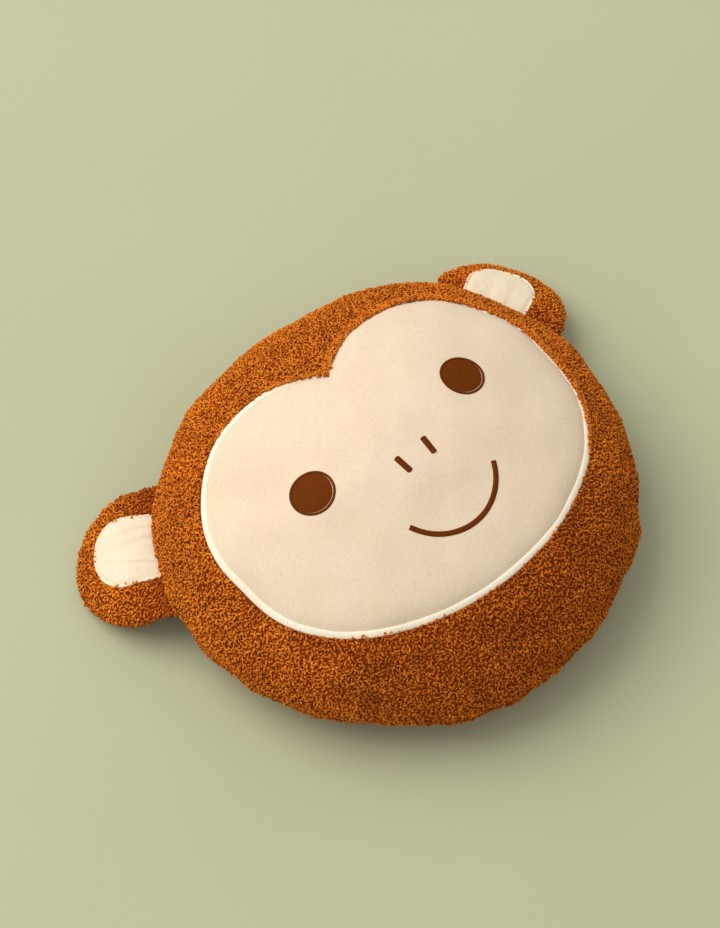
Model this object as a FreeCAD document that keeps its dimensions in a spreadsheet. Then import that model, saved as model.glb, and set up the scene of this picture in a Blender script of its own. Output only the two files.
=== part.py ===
import FreeCAD, Part
import math
import os
import re

# A monkey's-head cushion lying on its back, face up.
# +Z is up, +Y is towards the crown, +X is the viewer's right when looking down at the face.
# The origin is the middle of the flat rest face, at floor level. All lengths are in millimetres.

doc = FreeCAD.newDocument("monkey_cushion")

# ---------------------------------------------------------------- driving dimensions
DIMENSIONS = {
    # rounded body of the head
    "head_half_width": 190.0,
    "head_half_length": 180.0,
    "front_height": 106.0,
    "back_depth": 50.0,
    "seam_level": 40.0,
    "cloth_thick": 6.0,
    "seam_half_gap": 0.6,
    "seam_allowance": 5.0,
    "backing_thick": 0.6,
    "closing_half_length": 45.0,
    "closing_half_width": 3.0,
    "closing_rise": 0.8,
    # face: two lobes above, half an ellipse below
    "patch_thick": 2.0,
    "patch_half_width": 152.0,
    "lobe_radius": 93.0,
    "lobe_centre_up": 16.0,
    "jaw_centre_down": 4.0,
    "jaw_drop": 119.8,
    "border_rise": 3.6,
    "border_width": 5.0,
    # embroidery
    "eye_spread": 74.5,
    "eye_up": 14.6,
    "eye_radius": 17.2,
    "eye_rim_width": 1.8,
    "fill_rise": 3.0,
    "rim_rise": 3.6,
    "nostril_spread": 12.5,
    "nose_aside": 1.0,
    "nostril_down": 14.5,
    "nostril_half_length": 6.0,
    "nostril_width": 4.8,
    "nostril_lean": 4.0,
    "smile_radius": 45.8,
    "smile_centre_down": 35.5,
    "smile_aside": 2.6,
    "smile_width": 4.1,
    "smile_end_angle": 24.0,
    "stitch_rise": 3.2,
    # ears
    "ear_hinge_radius": 191.4,
    "left_ear_angle": 149.5,
    "right_ear_angle": 24.0,
    "ear_droop": 30.0,
    "ear_length": 66.0,
    "ear_half_width": 53.0,
    "ear_half_thick": 13.5,
    "ear_root_half_thick": 2.6,
    "ear_root_gap": 2.0,
    "ear_cloth": 4.0,
    "ear_patch_half_width": 29.0,
    "ear_patch_start": 5.0,
    "ear_patch_reach": 50.0,
    "ear_patch_shift": 4.5,
    "ear_patch_corner": 24.0,
    "ear_patch_thick": 1.6,
    "ear_border_width": 3.0,
    "ear_border_rise": 2.6,
}
sheet = doc.addObject("Spreadsheet::Sheet", "Dims")
for row, (alias, value) in enumerate(DIMENSIONS.items(), start=1):
    sheet.set("A%d" % row, alias)
    sheet.set("B%d" % row, str(value))
    sheet.setAlias("B%d" % row, alias)
doc.recompute()

ALIAS = re.compile(r"\b(" + "|".join(DIMENSIONS) + r")\b")


def dim(alias):
    """Value of one driving dimension."""
    return float(sheet.get(alias))


def bind(thing, prop, formula):
    """Tie a property to the sheet. The formula uses the aliases as plain names."""
    thing.setExpression(prop, ALIAS.sub(r"Dims.\1", formula))


# ---------------------------------------------------------------- solids bound to the sheet
def fuse(name, parts):
    """One solid out of several."""
    result = doc.addObject("Part::MultiFuse", name)
    result.Shapes = parts
    return result


def cut(name, base, tool):
    """The base without the tool."""
    result = doc.addObject("Part::Cut", name)
    result.Base = base
    result.Tool = tool
    return result


def common(name, first, second):
    """What two solids share."""
    result = doc.addObject("Part::MultiCommon", name)
    result.Shapes = [first, second]
    return result


def block(name, low, high):
    """A box between two corners, each given as three formulas."""
    box = doc.addObject("Part::Box", name)
    for side, start, end, axis in zip(("Length", "Width", "Height"), low, high, "xyz"):
        bind(box, side, "(%s) - (%s)" % (end, start))
        bind(box, "Placement.Base." + axis, start)
    return box


def slab(name, low, high):
    """A box wider than the whole cushion, between two levels."""
    return block(name, ("-300", "-300", low), ("300", "300", high))


def upright(name, radius, across, along):
    """A vertical cylinder through the face, from the seam's level upward."""
    post = doc.addObject("Part::Cylinder", name)
    bind(post, "Radius", radius)
    bind(post, "Height", "front_height + 20")
    bind(post, "Placement.Base.x", across)
    bind(post, "Placement.Base.y", along)
    bind(post, "Placement.Base.z", "seam_level")
    return post


def dome(name, grow, above):
    """Half of the head's ellipsoid, above or below the seam, with its poles at crown and chin.

    grow is added to every radius, so a grown dome is an even layer over a smaller one.
    """
    half = doc.addObject("Part::Ellipsoid", name)
    bind(half, "Radius1", "head_half_length + %s" % grow)
    bind(half, "Radius2", "head_half_width + %s" % grow)
    bind(half, "Radius3", "%s + %s" % ("front_height" if above else "back_depth", grow))
    half.Angle1 = -90
    half.Angle2 = 90
    half.Angle3 = 180
    half.Placement.Rotation = FreeCAD.Rotation(FreeCAD.Vector(1, 0, 0), 90 if above else -90)
    bind(half, "Placement.Base.z", "seam_level")
    return half


def face_prism(name, inset):
    """Upright prism of the face outline, drawn in by inset all round."""
    width = "patch_half_width - %s" % inset
    top = "seam_level + front_height + 20"
    lobes = []
    for side, sign in (("left", "-"), ("right", "")):
        across = "%s(patch_half_width - lobe_radius)" % sign
        lobes.append(upright("%s_%s_lobe" % (name, side), "lobe_radius - %s" % inset, across, "lobe_centre_up"))
    cheeks = block(
        name + "_cheeks",
        ("-(%s)" % width, "-jaw_centre_down", "seam_level"),
        (width, "lobe_centre_up", top),
    )
    rim = doc.addObject("Part::Ellipse", name + "_jaw_rim")
    bind(rim, "MajorRadius", width)
    bind(rim, "MinorRadius", "jaw_drop - %s" % inset)
    bind(rim, "Placement.Base.y", "-jaw_centre_down")
    bind(rim, "Placement.Base.z", "seam_level")
    oval = doc.addObject("Part::Extrusion", name + "_jaw_oval")
    oval.Base = rim
    oval.DirMode = "Custom"
    oval.Dir = FreeCAD.Vector(0, 0, 1)
    bind(oval, "LengthFwd", "front_height + 20")
    oval.Solid = True
    below = block(name + "_below", ("-300", "-300", "0"), ("300", "-jaw_centre_down", "300"))
    jaw = common(name + "_jaw", oval, below)
    return fuse(name, lobes + [cheeks, jaw])


def layer(name, prism, outer, inner):
    """The part of a prism between two domes: a sheet that follows the head's curve."""
    return cut(name, common(name + "_column", prism, outer), inner)


# ---------------------------------------------------------------- head
outer_top = dome("outer_top", "0", True)
outer_low = dome("outer_low", "0", False)
inner_top = dome("inner_top", "-cloth_thick", True)
inner_low = dome("inner_low", "-cloth_thick", False)
head_solid = common("head_solid", fuse("head_round", [outer_top, outer_low]), slab("above_floor", "0", "300"))
core_solid = common(
    "core_solid", fuse("core_round", [inner_top, inner_low]), slab("above_cloth", "cloth_thick", "300")
)
wall = cut("head_wall", head_solid, core_solid)
front_panel = common(
    "head_front_panel", wall, slab("front_levels", "seam_level + seam_half_gap", "seam_level + 200")
)
back_panel = common("head_back_panel", wall, slab("back_levels", "-10", "seam_level - seam_half_gap"))
seam_bore = fuse(
    "seam_bore", [dome("bore_top", "-seam_allowance", True), dome("bore_low", "-seam_allowance", False)]
)
seam_band = cut("seam_band", head_solid, seam_bore)
perimeter_seam = common(
    "perimeter_seam",
    seam_band,
    slab("seam_levels", "seam_level - seam_half_gap", "seam_level + seam_half_gap"),
)

raised_top = dome("raised_top", "closing_rise", True)
raised_low = dome("raised_low", "closing_rise", False)
raised_round = fuse("raised_round", [raised_top, raised_low])
closing_zone = block(
    "closing_zone",
    ("-closing_half_length", "-300", "seam_level - closing_half_width"),
    ("closing_half_length", "-100", "seam_level + closing_half_width"),
)
closing_stitch = layer("closing_stitch", closing_zone, raised_round, head_solid)

# ---------------------------------------------------------------- face
face_outer = face_prism("face_outer", "0")
face_inner = face_prism("face_inner", "border_width")
patch_dome = dome("patch_dome", "patch_thick", True)
border_dome = dome("border_dome", "border_rise", True)
face_patch = layer("face_patch", face_inner, patch_dome, outer_top)
face_ring = cut("face_ring", face_outer, face_inner)
face_border = layer("face_border_stitch", face_ring, border_dome, outer_top)
backing_dome = dome("backing_dome", "-(cloth_thick + backing_thick)", True)
embroidery_backing = layer("embroidery_backing", face_inner, inner_top, backing_dome)
head_filling = cut("head_filling", core_solid, embroidery_backing)

fill_dome = dome("fill_dome", "fill_rise", True)
rim_dome = dome("rim_dome", "rim_rise", True)
stitch_dome = dome("stitch_dome", "stitch_rise", True)
embroidery = []
for side, sign in (("left", "-"), ("right", "")):
    across = sign + "eye_spread"
    disc = upright(side + "_eye_disc", "eye_radius", across, "eye_up")
    core = upright(side + "_eye_core", "eye_radius - eye_rim_width", across, "eye_up")
    ring = cut(side + "_eye_ring", disc, core)
    embroidery.append(layer(side + "_eye_fill", core, fill_dome, patch_dome))
    embroidery.append(layer(side + "_eye_rim", ring, rim_dome, patch_dome))

    half = "nostril_width / 2"
    bar = block(
        side + "_nostril_bar",
        ("-" + half, "-nostril_half_length", "0"),
        (half, "nostril_half_length", "seam_level + front_height + 20"),
    )
    ends = []
    for end, way in (("top", ""), ("low", "-")):
        post = upright("%s_nostril_%s" % (side, end), half, "0", way + "nostril_half_length")
        ends.append(post)
    stroke = fuse(side + "_nostril_stroke", [bar] + ends)
    lean = dim("nostril_lean") if side == "left" else -dim("nostril_lean")
    stroke.Placement.Rotation = FreeCAD.Rotation(FreeCAD.Vector(0, 0, 1), lean)
    bind(stroke, "Placement.Base.x", sign + "nostril_spread + nose_aside")
    bind(stroke, "Placement.Base.y", "-nostril_down")
    embroidery.append(layer(side + "_nostril_stitch", stroke, stitch_dome, patch_dome))

wide = upright("smile_wide", "smile_radius + smile_width / 2", "smile_aside", "-smile_centre_down")
narrow = upright("smile_narrow", "smile_radius - smile_width / 2", "smile_aside", "-smile_centre_down")
bind(wide, "Angle", "180 - 2 * smile_end_angle")
wide.Placement.Rotation = FreeCAD.Rotation(FreeCAD.Vector(0, 0, 1), -180 + dim("smile_end_angle"))
smile_arc = cut("smile_arc", wide, narrow)
embroidery.append(layer("smile_stitch", smile_arc, stitch_dome, patch_dome))

# ---------------------------------------------------------------- ears
# Each ear is made about its own root: local X runs from the hinge line to the tip, local Y along
# the hinge line, local Z out of the ear's front. It is then turned and set down at the seam.
ROOT_WIDTH = 1.03
THICKEST_AT = 0.42
SQUARENESS = 1.93
ROOT_OVERRUN = 0.17


def ear_width_share(reach):
    """Half-width at a share of the ear's length, as a share of the widest: a rounded D."""
    shoulder = 0.16
    if reach < shoulder:
        share = max(0.0, reach) / shoulder
        return ROOT_WIDTH + (1 - ROOT_WIDTH) * math.sin(math.pi / 2 * share)
    u = (reach - shoulder) / (1 - shoulder)
    return max(0.0, 1 - u ** SQUARENESS) ** (1 / SQUARENESS)


def ear_thick_share(reach):
    """Half-thickness above the root's, as a share of the most: pinched at the root and the tip."""
    if reach < THICKEST_AT:
        return math.sin(math.pi / 2 * max(0.0, reach) / THICKEST_AT) ** 0.8
    u = (reach - THICKEST_AT) / (1 - THICKEST_AT)
    return math.sqrt(max(0.0, 1 - u ** 2))


def ear_loft(name, grow, start, end):
    """Rounded solid through ellipses set across the ear, between two shares of its length."""
    sections = []
    stations = 10
    for index in range(stations):
        swing = math.sin(math.pi / 2 * index / (stations - 1))
        reach = start + (end - start) * swing
        ring = doc.addObject("Part::Ellipse", "%s_section_%d" % (name, index))
        thick = "ear_root_half_thick + (ear_half_thick - ear_root_half_thick) * %.4f + %s"
        if reach > THICKEST_AT:
            thick = "ear_half_thick * %.4f + %s"
        bind(ring, "MajorRadius", "ear_half_width * %.4f + %s" % (ear_width_share(reach), grow))
        bind(ring, "MinorRadius", thick % (ear_thick_share(reach), grow))
        bind(ring, "Placement.Base.x", "ear_length * %.4f" % reach)
        ring.Placement.Rotation = FreeCAD.Rotation(FreeCAD.Vector(1, 1, 1), 120)
        sections.append(ring)
    loft = doc.addObject("Part::Loft", name)
    loft.Sections = sections
    loft.Solid = True
    return loft


def root_trim(name):
    """Upright cylinder about the head's middle, so that an ear's root follows the edge seam."""
    drop = 80
    post = doc.addObject("Part::Cylinder", name)
    bind(post, "Radius", "ear_hinge_radius + ear_root_gap")
    post.Height = 2 * drop
    post.Placement.Rotation = FreeCAD.Rotation(FreeCAD.Vector(0, 1, 0), -dim("ear_droop"))
    tilt = "ear_droop * 1 deg"
    sides = (tilt, drop, tilt)
    bind(post, "Placement.Base.x", "-ear_hinge_radius * cos(%s) + %d * sin(%s)" % sides)
    bind(post, "Placement.Base.z", "-ear_hinge_radius * sin(%s) - %d * cos(%s)" % sides)
    return post


def ear_patch_prism(name, inset, crown):
    """The inner ear's outline: straight sides from the root, two round corners at the tip.

    It lies a little off the ear's middle, towards the crown; crown is the sign of that way."""
    half = "ear_patch_half_width - %s" % inset
    reach = "ear_patch_reach - %s" % inset
    corner = "ear_patch_corner - %s" % inset
    offset = "ear_patch_half_width - ear_patch_corner"
    shift = crown + "ear_patch_shift"
    body = block(
        name + "_body",
        ("ear_patch_start", "-(%s) %s" % (half, shift), "0"),
        ("ear_patch_reach - ear_patch_corner", "%s %s" % (half, shift), "40"),
    )
    nose = block(
        name + "_nose",
        ("ear_patch_start", "-(%s) %s" % (offset, shift), "0"),
        (reach, "%s %s" % (offset, shift), "40"),
    )
    corners = []
    for side, sign in (("near", "-"), ("far", "")):
        post = doc.addObject("Part::Cylinder", "%s_%s_corner" % (name, side))
        bind(post, "Radius", corner)
        post.Height = 40
        bind(post, "Placement.Base.x", "ear_patch_reach - ear_patch_corner")
        bind(post, "Placement.Base.y", "%s(%s) %s" % (sign, offset, shift))
        corners.append(post)
    rounded = fuse(name + "_rounded", [body, nose] + corners)
    past_root = block(name + "_past_root", ("ear_patch_start", "-100", "-1"), ("100", "100", "41"))
    return common(name, rounded, past_root)


def make_ear(side):
    """All pieces of one ear, set down at its place on the seam."""
    turn = dim(side + "_ear_angle")
    seat = FreeCAD.Rotation(FreeCAD.Vector(0, 0, 1), turn).multiply(
        FreeCAD.Rotation(FreeCAD.Vector(0, 1, 0), dim("ear_droop"))
    )
    crown = "- " if side == "left" else "+ "
    body = ear_loft(side + "_ear_body", "0", -ROOT_OVERRUN, 0.995)
    core = ear_loft(side + "_ear_core", "-ear_cloth", 0.2, 0.9)
    skin = ear_loft(side + "_ear_patch_skin", "ear_patch_thick", 0.0, 0.995)
    band = ear_loft(side + "_ear_border_skin", "ear_border_rise", 0.0, 0.995)
    shell = cut(side + "_ear_shell", body, core)
    cover = cut(side + "_ear_cover", shell, root_trim(side + "_ear_root_trim"))
    face_side = block(side + "_ear_face_side", ("-20", "-100", "0"), ("100", "100", "50"))
    back_side = block(side + "_ear_back_side", ("-20", "-100", "-50"), ("100", "100", "0"))
    whole = ear_patch_prism(side + "_ear_outline", "0", crown)
    inside = ear_patch_prism(side + "_ear_inline", "ear_border_width", crown)
    frame = cut(side + "_ear_frame", whole, inside)
    pieces = [
        common(side + "_ear_front", cover, face_side),
        common(side + "_ear_back", cover, back_side),
        layer(side + "_ear_patch", inside, skin, body),
        layer(side + "_ear_border_stitch", frame, band, body),
        ear_loft(side + "_ear_filling", "-ear_cloth", 0.2, 0.9),
    ]
    for piece in pieces:
        piece.Placement.Rotation = seat
        angle = side + "_ear_angle * 1 deg"
        bind(piece, "Placement.Base.x", "ear_hinge_radius * cos(%s)" % angle)
        bind(piece, "Placement.Base.y", "ear_hinge_radius * sin(%s)" % angle)
        bind(piece, "Placement.Base.z", "seam_level")
    return pieces


ears = make_ear("left") + make_ear("right")
doc.recompute()

# ---------------------------------------------------------------- check and write
parts = [front_panel, back_panel, perimeter_seam, closing_stitch, head_filling, embroidery_backing]
parts += [face_patch, face_border]
parts += embroidery + ears
for thing in doc.Objects:
    if "Invalid" in thing.State or "Error" in thing.State:
        raise RuntimeError("%s did not compute: %s" % (thing.Name, thing.State))
os.makedirs("parts", exist_ok=True)
for part in parts:
    shape = part.Shape
    if shape.isNull() or not shape.isValid() or not shape.Solids:
        raise RuntimeError("%s is not a good solid" % part.Label)
    shape.exportStep("parts/%s.step" % part.Label)
    box = shape.BoundBox
    print(
        "%-26s solids %d  volume %10.1f  z %6.1f to %6.1f"
        % (part.Label, len(shape.Solids), shape.Volume, box.ZMin, box.ZMax)
    )
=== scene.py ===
import math

import bmesh
import bpy
import numpy as np
from mathutils import Matrix, Vector, kdtree


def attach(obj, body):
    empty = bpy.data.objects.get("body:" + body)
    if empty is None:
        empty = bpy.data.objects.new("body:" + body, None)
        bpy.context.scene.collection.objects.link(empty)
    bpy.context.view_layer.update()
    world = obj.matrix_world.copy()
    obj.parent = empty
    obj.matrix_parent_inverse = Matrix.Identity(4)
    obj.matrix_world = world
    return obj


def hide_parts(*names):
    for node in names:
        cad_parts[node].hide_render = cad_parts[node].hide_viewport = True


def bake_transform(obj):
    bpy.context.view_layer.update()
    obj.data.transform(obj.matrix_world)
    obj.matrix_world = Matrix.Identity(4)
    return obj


# A monkey's-head cushion lying face up. Shapes are worked out in millimetres in the part's own
# frame (+Z up out of the face, +Y to the crown, +X the viewer's right) and made in metres.

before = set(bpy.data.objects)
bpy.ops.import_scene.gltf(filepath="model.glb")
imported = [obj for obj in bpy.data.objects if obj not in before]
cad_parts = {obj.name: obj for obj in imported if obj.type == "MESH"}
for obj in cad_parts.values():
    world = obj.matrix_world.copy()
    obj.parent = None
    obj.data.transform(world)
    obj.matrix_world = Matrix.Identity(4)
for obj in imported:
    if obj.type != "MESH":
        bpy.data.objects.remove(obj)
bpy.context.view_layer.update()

MM = 0.001
TAU = 2 * math.pi


def unit(v):
    """Vectors scaled to a length of one."""
    return v / np.linalg.norm(v, axis=-1, keepdims=True)


def turn_gap(angle):
    """An angle brought within half a turn of zero."""
    return (angle + math.pi) % TAU - math.pi


def run_along(line):
    """How far along a line of points each one is."""
    return np.concatenate([[0], np.cumsum(np.linalg.norm(np.diff(line, axis=0), axis=1))])


def grid_of(a, b):
    """Every pairing of two lists, as two grids."""
    return np.broadcast_arrays(a[:, None], b[None, :])


def round_shares(count):
    """Evenly spaced shares of a turn."""
    return np.arange(count) / count


def bell(x, width):
    return np.exp(-((x / width) ** 2))


# ------------------------------------------------------------------------------------------ camera
# The camera stands round to the chin's left. "Studio" directions are as the camera sees them:
# X to its right, Y away from it over the floor, Z up.
STUDIO_TURN = math.radians(-41.7)
CAMERA_LIFT = math.radians(62.4)
CAMERA_REACH = 2.111
CAMERA_AIM = (-0.0307, 0.0359, 0.0423)
LENS_MM = 105.3


def from_studio(x, y, z):
    """A studio point or direction in the part's frame."""
    return Matrix.Rotation(STUDIO_TURN, 3, "Z") @ Vector((x, y, z))


def put_in(name, data):
    """An object of the scene that holds data."""
    thing = bpy.data.objects.new(name, data)
    bpy.context.scene.collection.objects.link(thing)
    return thing


def add_camera():
    data = bpy.data.cameras.new("photo_camera")
    data.lens = LENS_MM
    data.sensor_width = 36.0
    data.clip_end = 50.0
    camera = put_in("photo_camera", data)
    away = Vector((0, -math.cos(CAMERA_LIFT), math.sin(CAMERA_LIFT)))
    aim = Vector(CAMERA_AIM)
    place = from_studio(*(aim + away * CAMERA_REACH))
    look = from_studio(*(-away))
    side = from_studio(1, 0, 0)
    over = side.cross(look)
    turn = Matrix((side, over, -look)).transposed()
    camera.matrix_world = Matrix.Translation(place) @ turn.to_4x4()
    bpy.context.scene.camera = camera


def add_area(name, place, aim, size, power, colour):
    data = bpy.data.lights.new(name, "AREA")
    data.shape = "DISK"
    data.size = size
    data.energy = power
    data.color = colour
    light = put_in(name, data)
    start = from_studio(*place)
    light.location = start
    light.rotation_euler = (from_studio(*aim) - start).to_track_quat("-Z", "Y").to_euler()
    light.visible_camera = False


add_camera()

# ------------------------------------------------------------------------------------------ shapes
SEAM_Z = 40.0
FRONT_H = 106.4
FRONT_LEAN = 0.051
BACK_D = 50.0
FLOOR_ROUND = 5.0
PILE = 2.0
EAR_ANGLES = {"left": math.radians(150.2), "right": math.radians(24.0)}


def rim(theta):
    """Distance from the middle to the edge seam, by direction."""
    return (
        185.2
        + 5.1 * np.cos(2 * theta)
        + 3.0 * np.sin(3 * theta)
        - 0.6 * np.cos(4 * theta)
        + 0.5 * np.cos(6 * theta)
    )


def soft_floor(z):
    """Lets the underside settle flat on the floor with a rounded edge."""
    k = FLOOR_ROUND
    return np.where(z > k, z, np.where(z < -k, 0.0, (z + k) ** 2 / (4 * k)))


def plain_head(theta, phi):
    """The smooth cushion: phi is 0 at the nose, 90 degrees at the seam and 180 beneath."""
    s, c = np.sin(phi), np.cos(phi)
    r = rim(theta) * s
    x, y = r * np.cos(theta), r * np.sin(theta)
    high = SEAM_Z + (FRONT_H + FRONT_LEAN * y) * c
    low = soft_floor(SEAM_Z + BACK_D * c)
    return np.stack([x, y, np.where(c >= 0, high, low)], -1)


def grid_normals(p):
    """Unit normals of a grid of points that closes on itself in the first direction."""
    n = np.cross(np.gradient(p, axis=1), np.roll(p, -1, 0) - np.roll(p, 1, 0))
    size = np.linalg.norm(n, axis=-1, keepdims=True)
    return n / np.maximum(size, 1e-9)


class Skin:
    """A grid of points over a closed form, read anywhere in between."""

    def __init__(self, points):
        self.p = points
        n = grid_normals(points)
        for pole, beside in ((0, 1), (-1, -2)):
            mean = n[:, beside].mean(0)
            if np.linalg.norm(mean) > 0.8:
                n[:, pole] = mean / np.linalg.norm(mean)
        self.n = n

    def _read(self, table, a, b):
        rows, cols = table.shape[:2]
        fa = np.asarray(a) % 1.0 * rows
        fb = np.clip(b, 0, 1) * (cols - 1)
        a0 = np.floor(fa).astype(int)
        b0 = np.minimum(np.floor(fb).astype(int), cols - 2)
        ta, tb = (fa - a0)[..., None], (fb - b0)[..., None]
        a0, a1 = a0 % rows, (a0 + 1) % rows
        low = table[a0, b0] * (1 - tb) + table[a0, b0 + 1] * tb
        high = table[a1, b0] * (1 - tb) + table[a1, b0 + 1] * tb
        return low * (1 - ta) + high * ta

    def at(self, a, b, lift=0.0):
        """Point at grid shares a and b, raised along the normal."""
        p = self._read(self.p, a, b)
        n = self.normal(a, b)
        return p + n * np.asarray(lift)[..., None]

    def normal(self, a, b):
        n = self._read(self.n, a, b)
        return n / np.maximum(np.linalg.norm(n, axis=-1, keepdims=True), 1e-9)


HEAD_ROWS, HEAD_COLS = 720, 361
THETA, PHI = grid_of(
    np.linspace(0, TAU, HEAD_ROWS, endpoint=False), np.linspace(0, math.pi, HEAD_COLS)
)
PLAIN = plain_head(THETA, PHI)
PLAIN_N = grid_normals(PLAIN)
PLAIN_N[:, 0] = (0, 0, 1)
PLAIN_N[:, -1] = (0, 0, -1)


MEAN_PROFILE_R = 150.0
SEAM_PULL, SEAM_PULL_WIDTH = 2.0, 6.0
GATHERS = 34
# direction and half width in degrees, depth and reach from the seam in mm
TUCKS = (
    (-137, 2.1, 2.6, 30),
    (-131, 1.6, 1.6, 34),
    (-69, 2.0, 2.6, 26),
    (-62, 1.7, 1.4, 30),
    (-24, 1.9, 2.0, 26),
    (-100, 2.0, 1.6, 30),
    (60, 2.2, 1.4, 24),
    (172, 2.1, 1.5, 28),
)
# direction and half width in degrees, height in mm
FULL_STRETCHES = ((-168, 7, 5.0), (-50, 9, 4.5), (-114, 6, 4.0), (-150, 5, 3.2))
FULL_REACH = 38.0
ROOT_ROLL, ROOT_ROLL_HALF = 3.4, 0.36


def press_tuck(dent, gap, width, depth, fade, lip, lip_at):
    """Sinks a crease into dent, with a raised lip either side of it."""
    dent -= depth * bell(gap, width) * fade
    dent += lip * depth * bell(np.abs(gap) - lip_at * width, width) * fade


def seam_dents(theta, phi):
    """Pull of the edge seam, the creases that run out of it and the swells between, in mm."""
    rng = np.random.default_rng(11)
    along = (phi - math.pi / 2) * MEAN_PROFILE_R
    dent = -SEAM_PULL * bell(along, SEAM_PULL_WIDTH)
    for _ in range(GATHERS):
        where = rng.uniform(0, TAU)
        depth = rng.uniform(0.4, 1.3)
        width = math.radians(rng.uniform(1.0, 2.6))
        reach = rng.uniform(16, 42)
        drift = rng.uniform(-0.0016, 0.0016)
        fade = np.exp(-np.abs(along) / reach)
        press_tuck(dent, turn_gap(theta - where - drift * along), width, depth, fade, 0.45, 1.9)
    for where, width, depth, reach in TUCKS:
        fade = np.exp(-np.abs(along) / reach)
        gap = turn_gap(theta - math.radians(where))
        press_tuck(dent, gap, math.radians(width), depth, fade, 0.5, 2.0)
    for where, width, height in FULL_STRETCHES:
        gap = turn_gap(theta - math.radians(where))
        dent += height * bell(gap, math.radians(width)) * bell(along, FULL_REACH)
    # the cover rolls over the ears' roots
    for turn in EAR_ANGLES.values():
        near = np.clip((ROOT_ROLL_HALF - np.abs(turn_gap(theta - turn))) / 0.1, 0, 1)
        dent = dent * (1 - 0.8 * near) + ROOT_ROLL * near * bell(along + 9, 12.0)
    return dent


def smooth_waves(points, seed, length, size):
    """Gentle fixed unevenness over a surface: a sum of plane waves, in mm."""
    rng = np.random.default_rng(seed)
    total = np.zeros(points.shape[:-1])
    for _ in range(14):
        way = rng.normal(size=3)
        way /= np.linalg.norm(way)
        total += np.sin(points @ way * TAU / (length * rng.uniform(0.7, 1.5)) + rng.uniform(0, TAU))
    return total * size / math.sqrt(7)


def off_floor(phi):
    """1 where the cloth is free, 0 where it rests on the floor."""
    return np.clip((math.radians(150) - phi) / math.radians(40), 0, 1)


def soften(table, rows, cols):
    """Gaussian blur of a head table, done by repeated neighbour means; wraps round the head."""
    for _ in range(rows):
        table = (np.roll(table, 1, 0) + 2 * table + np.roll(table, -1, 0)) / 4
    for _ in range(cols):
        wide = np.concatenate([table[:, :1], table, table[:, -1:]], 1)
        table = (wide[:, :-2] + 2 * wide[:, 1:-1] + wide[:, 2:]) / 4
    return table


SIM_START = 0.975
SIM_VOXEL = 0.0055
SIM_FRAMES = 22
SIM_SEAM_REACH = 9.0
SIM_CLOTH = {
    "quality": 5,
    "mass": 0.3,
    "tension_stiffness": 12,
    "compression_stiffness": 12,
    "shear_stiffness": 4,
    "bending_stiffness": 0.4,
    "use_pressure": True,
    "uniform_pressure_force": 4.0,
    "vertex_group_shrink": "seam",
    "shrink_min": -0.02,
    "shrink_max": 0.13,
}
SIM_CAP = 2.6
SIM_SHARE = 0.42


def stuffed_cover():
    """Blows the cover up as cloth with its edge seam drawn in, and reads off the wrinkles in mm."""
    step = 6
    points = plain_head(THETA[::step, ::step], PHI[::step, ::step])
    middle = np.array([0, 0, SEAM_Z])
    points = (points - middle) * SIM_START + middle
    blank = grid_object("stuffing_blank", points, wrap_rows=True, join=0.05)
    bpy.context.view_layer.objects.active = blank
    remesh = blank.modifiers.new("remesh", "REMESH")
    remesh.mode = "VOXEL"
    remesh.voxel_size = SIM_VOXEL
    bpy.ops.object.modifier_apply(modifier="remesh")
    before = read_points(blank)
    theta = np.arctan2(before[:, 1], before[:, 0])
    out = np.hypot(before[:, 0], before[:, 1]) - rim(theta) * SIM_START
    gap = np.hypot(out, before[:, 2] - SEAM_Z)
    pull = np.clip(1 - gap / SIM_SEAM_REACH, 0, 1)
    seam = blank.vertex_groups.new(name="seam")
    for index in np.nonzero(pull)[0].tolist():
        seam.add([index], float(pull[index]), "REPLACE")
    cloth = blank.modifiers.new("cloth", "CLOTH")
    for key, value in SIM_CLOTH.items():
        setattr(cloth.settings, key, value)
    cloth.settings.effector_weights.gravity = 0
    cloth.collision_settings.use_collision = False
    for number in range(1, SIM_FRAMES + 1):
        bpy.context.scene.frame_set(number)
    bpy.ops.object.modifier_apply(modifier="cloth")
    bpy.context.scene.frame_set(1)
    after = read_points(blank)
    bpy.data.objects.remove(blank)
    moved = after - before
    tree = kdtree.KDTree(len(before))
    for index, place in enumerate(before / SIM_START):
        tree.insert(place, index)
    tree.balance()
    coarse = 2
    spots = plain_head(THETA[::coarse, ::coarse], PHI[::coarse, ::coarse])
    spots = (spots - middle) + middle / SIM_START
    ways = PLAIN_N[::coarse, ::coarse]
    table = np.zeros(spots.shape[:2])
    for row in range(spots.shape[0]):
        for col in range(spots.shape[1]):
            near = tree.find_n(spots[row, col], 4)
            weight = np.array([1 / (far + 1.0) for _, _, far in near])
            shift = moved[[index for _, index, _ in near]]
            table[row, col] = (weight @ shift) @ ways[row, col] / weight.sum()
    table = np.repeat(np.repeat(table, coarse, 0), coarse, 1)[:HEAD_ROWS, :HEAD_COLS]
    table = soften(table, 10, 10)
    wrinkles = table - soften(table, 700, 700)
    share = SIM_SHARE * (0.75 - 0.35 * np.sin(THETA))
    return np.clip(wrinkles * share, -SIM_CAP, SIM_CAP)


def read_points(piece):
    """Mesh points in mm."""
    flat = np.empty(len(piece.data.vertices) * 3, np.float32)
    piece.data.vertices.foreach_get("co", flat)
    return flat.reshape(-1, 3).astype(float) / MM


SHIFT_LIMITS = (-2.5, 6.5)


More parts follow.
